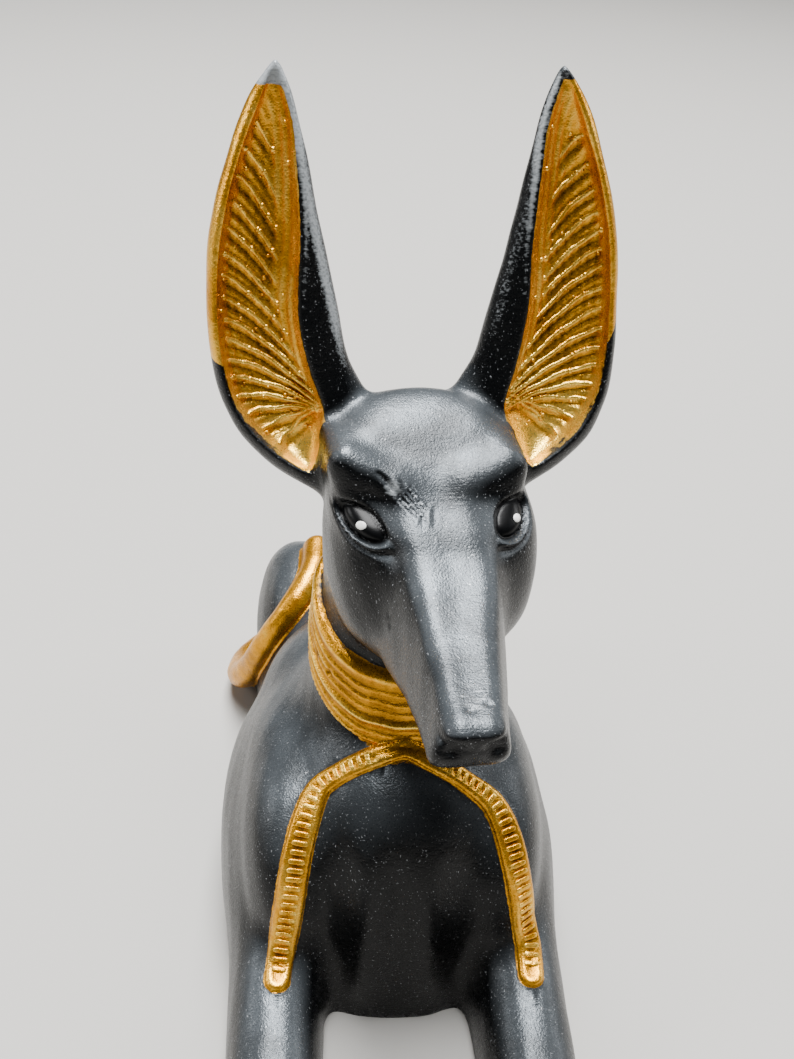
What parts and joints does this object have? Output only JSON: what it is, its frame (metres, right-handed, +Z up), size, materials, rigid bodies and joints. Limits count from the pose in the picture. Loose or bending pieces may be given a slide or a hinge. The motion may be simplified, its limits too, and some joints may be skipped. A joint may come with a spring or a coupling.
{
  "type": "recumbent jackal figure",
  "caption": "Resin figure of a lying Anubis jackal with tall ears, collar, chest ribbons and curled tail, black with antique gold.",
  "frame": {"origin": "on the surface it stands on, under the middle of the figure's width and length", "axes": "+Z up to the ears, -Y the way the face looks, +X to the right of someone facing the figure"},
  "size_m": [0.081, 0.194, 0.1807],
  "materials": {
    "painted_resin": "satin black paint rubbed with silver-grey on what faces up, with antique gold ear hollows, collar, ribbons and tail"
  },
  "bodies": {
    "root": {"jackal_figure": "painted_resin"}
  },
  "joints": []
}
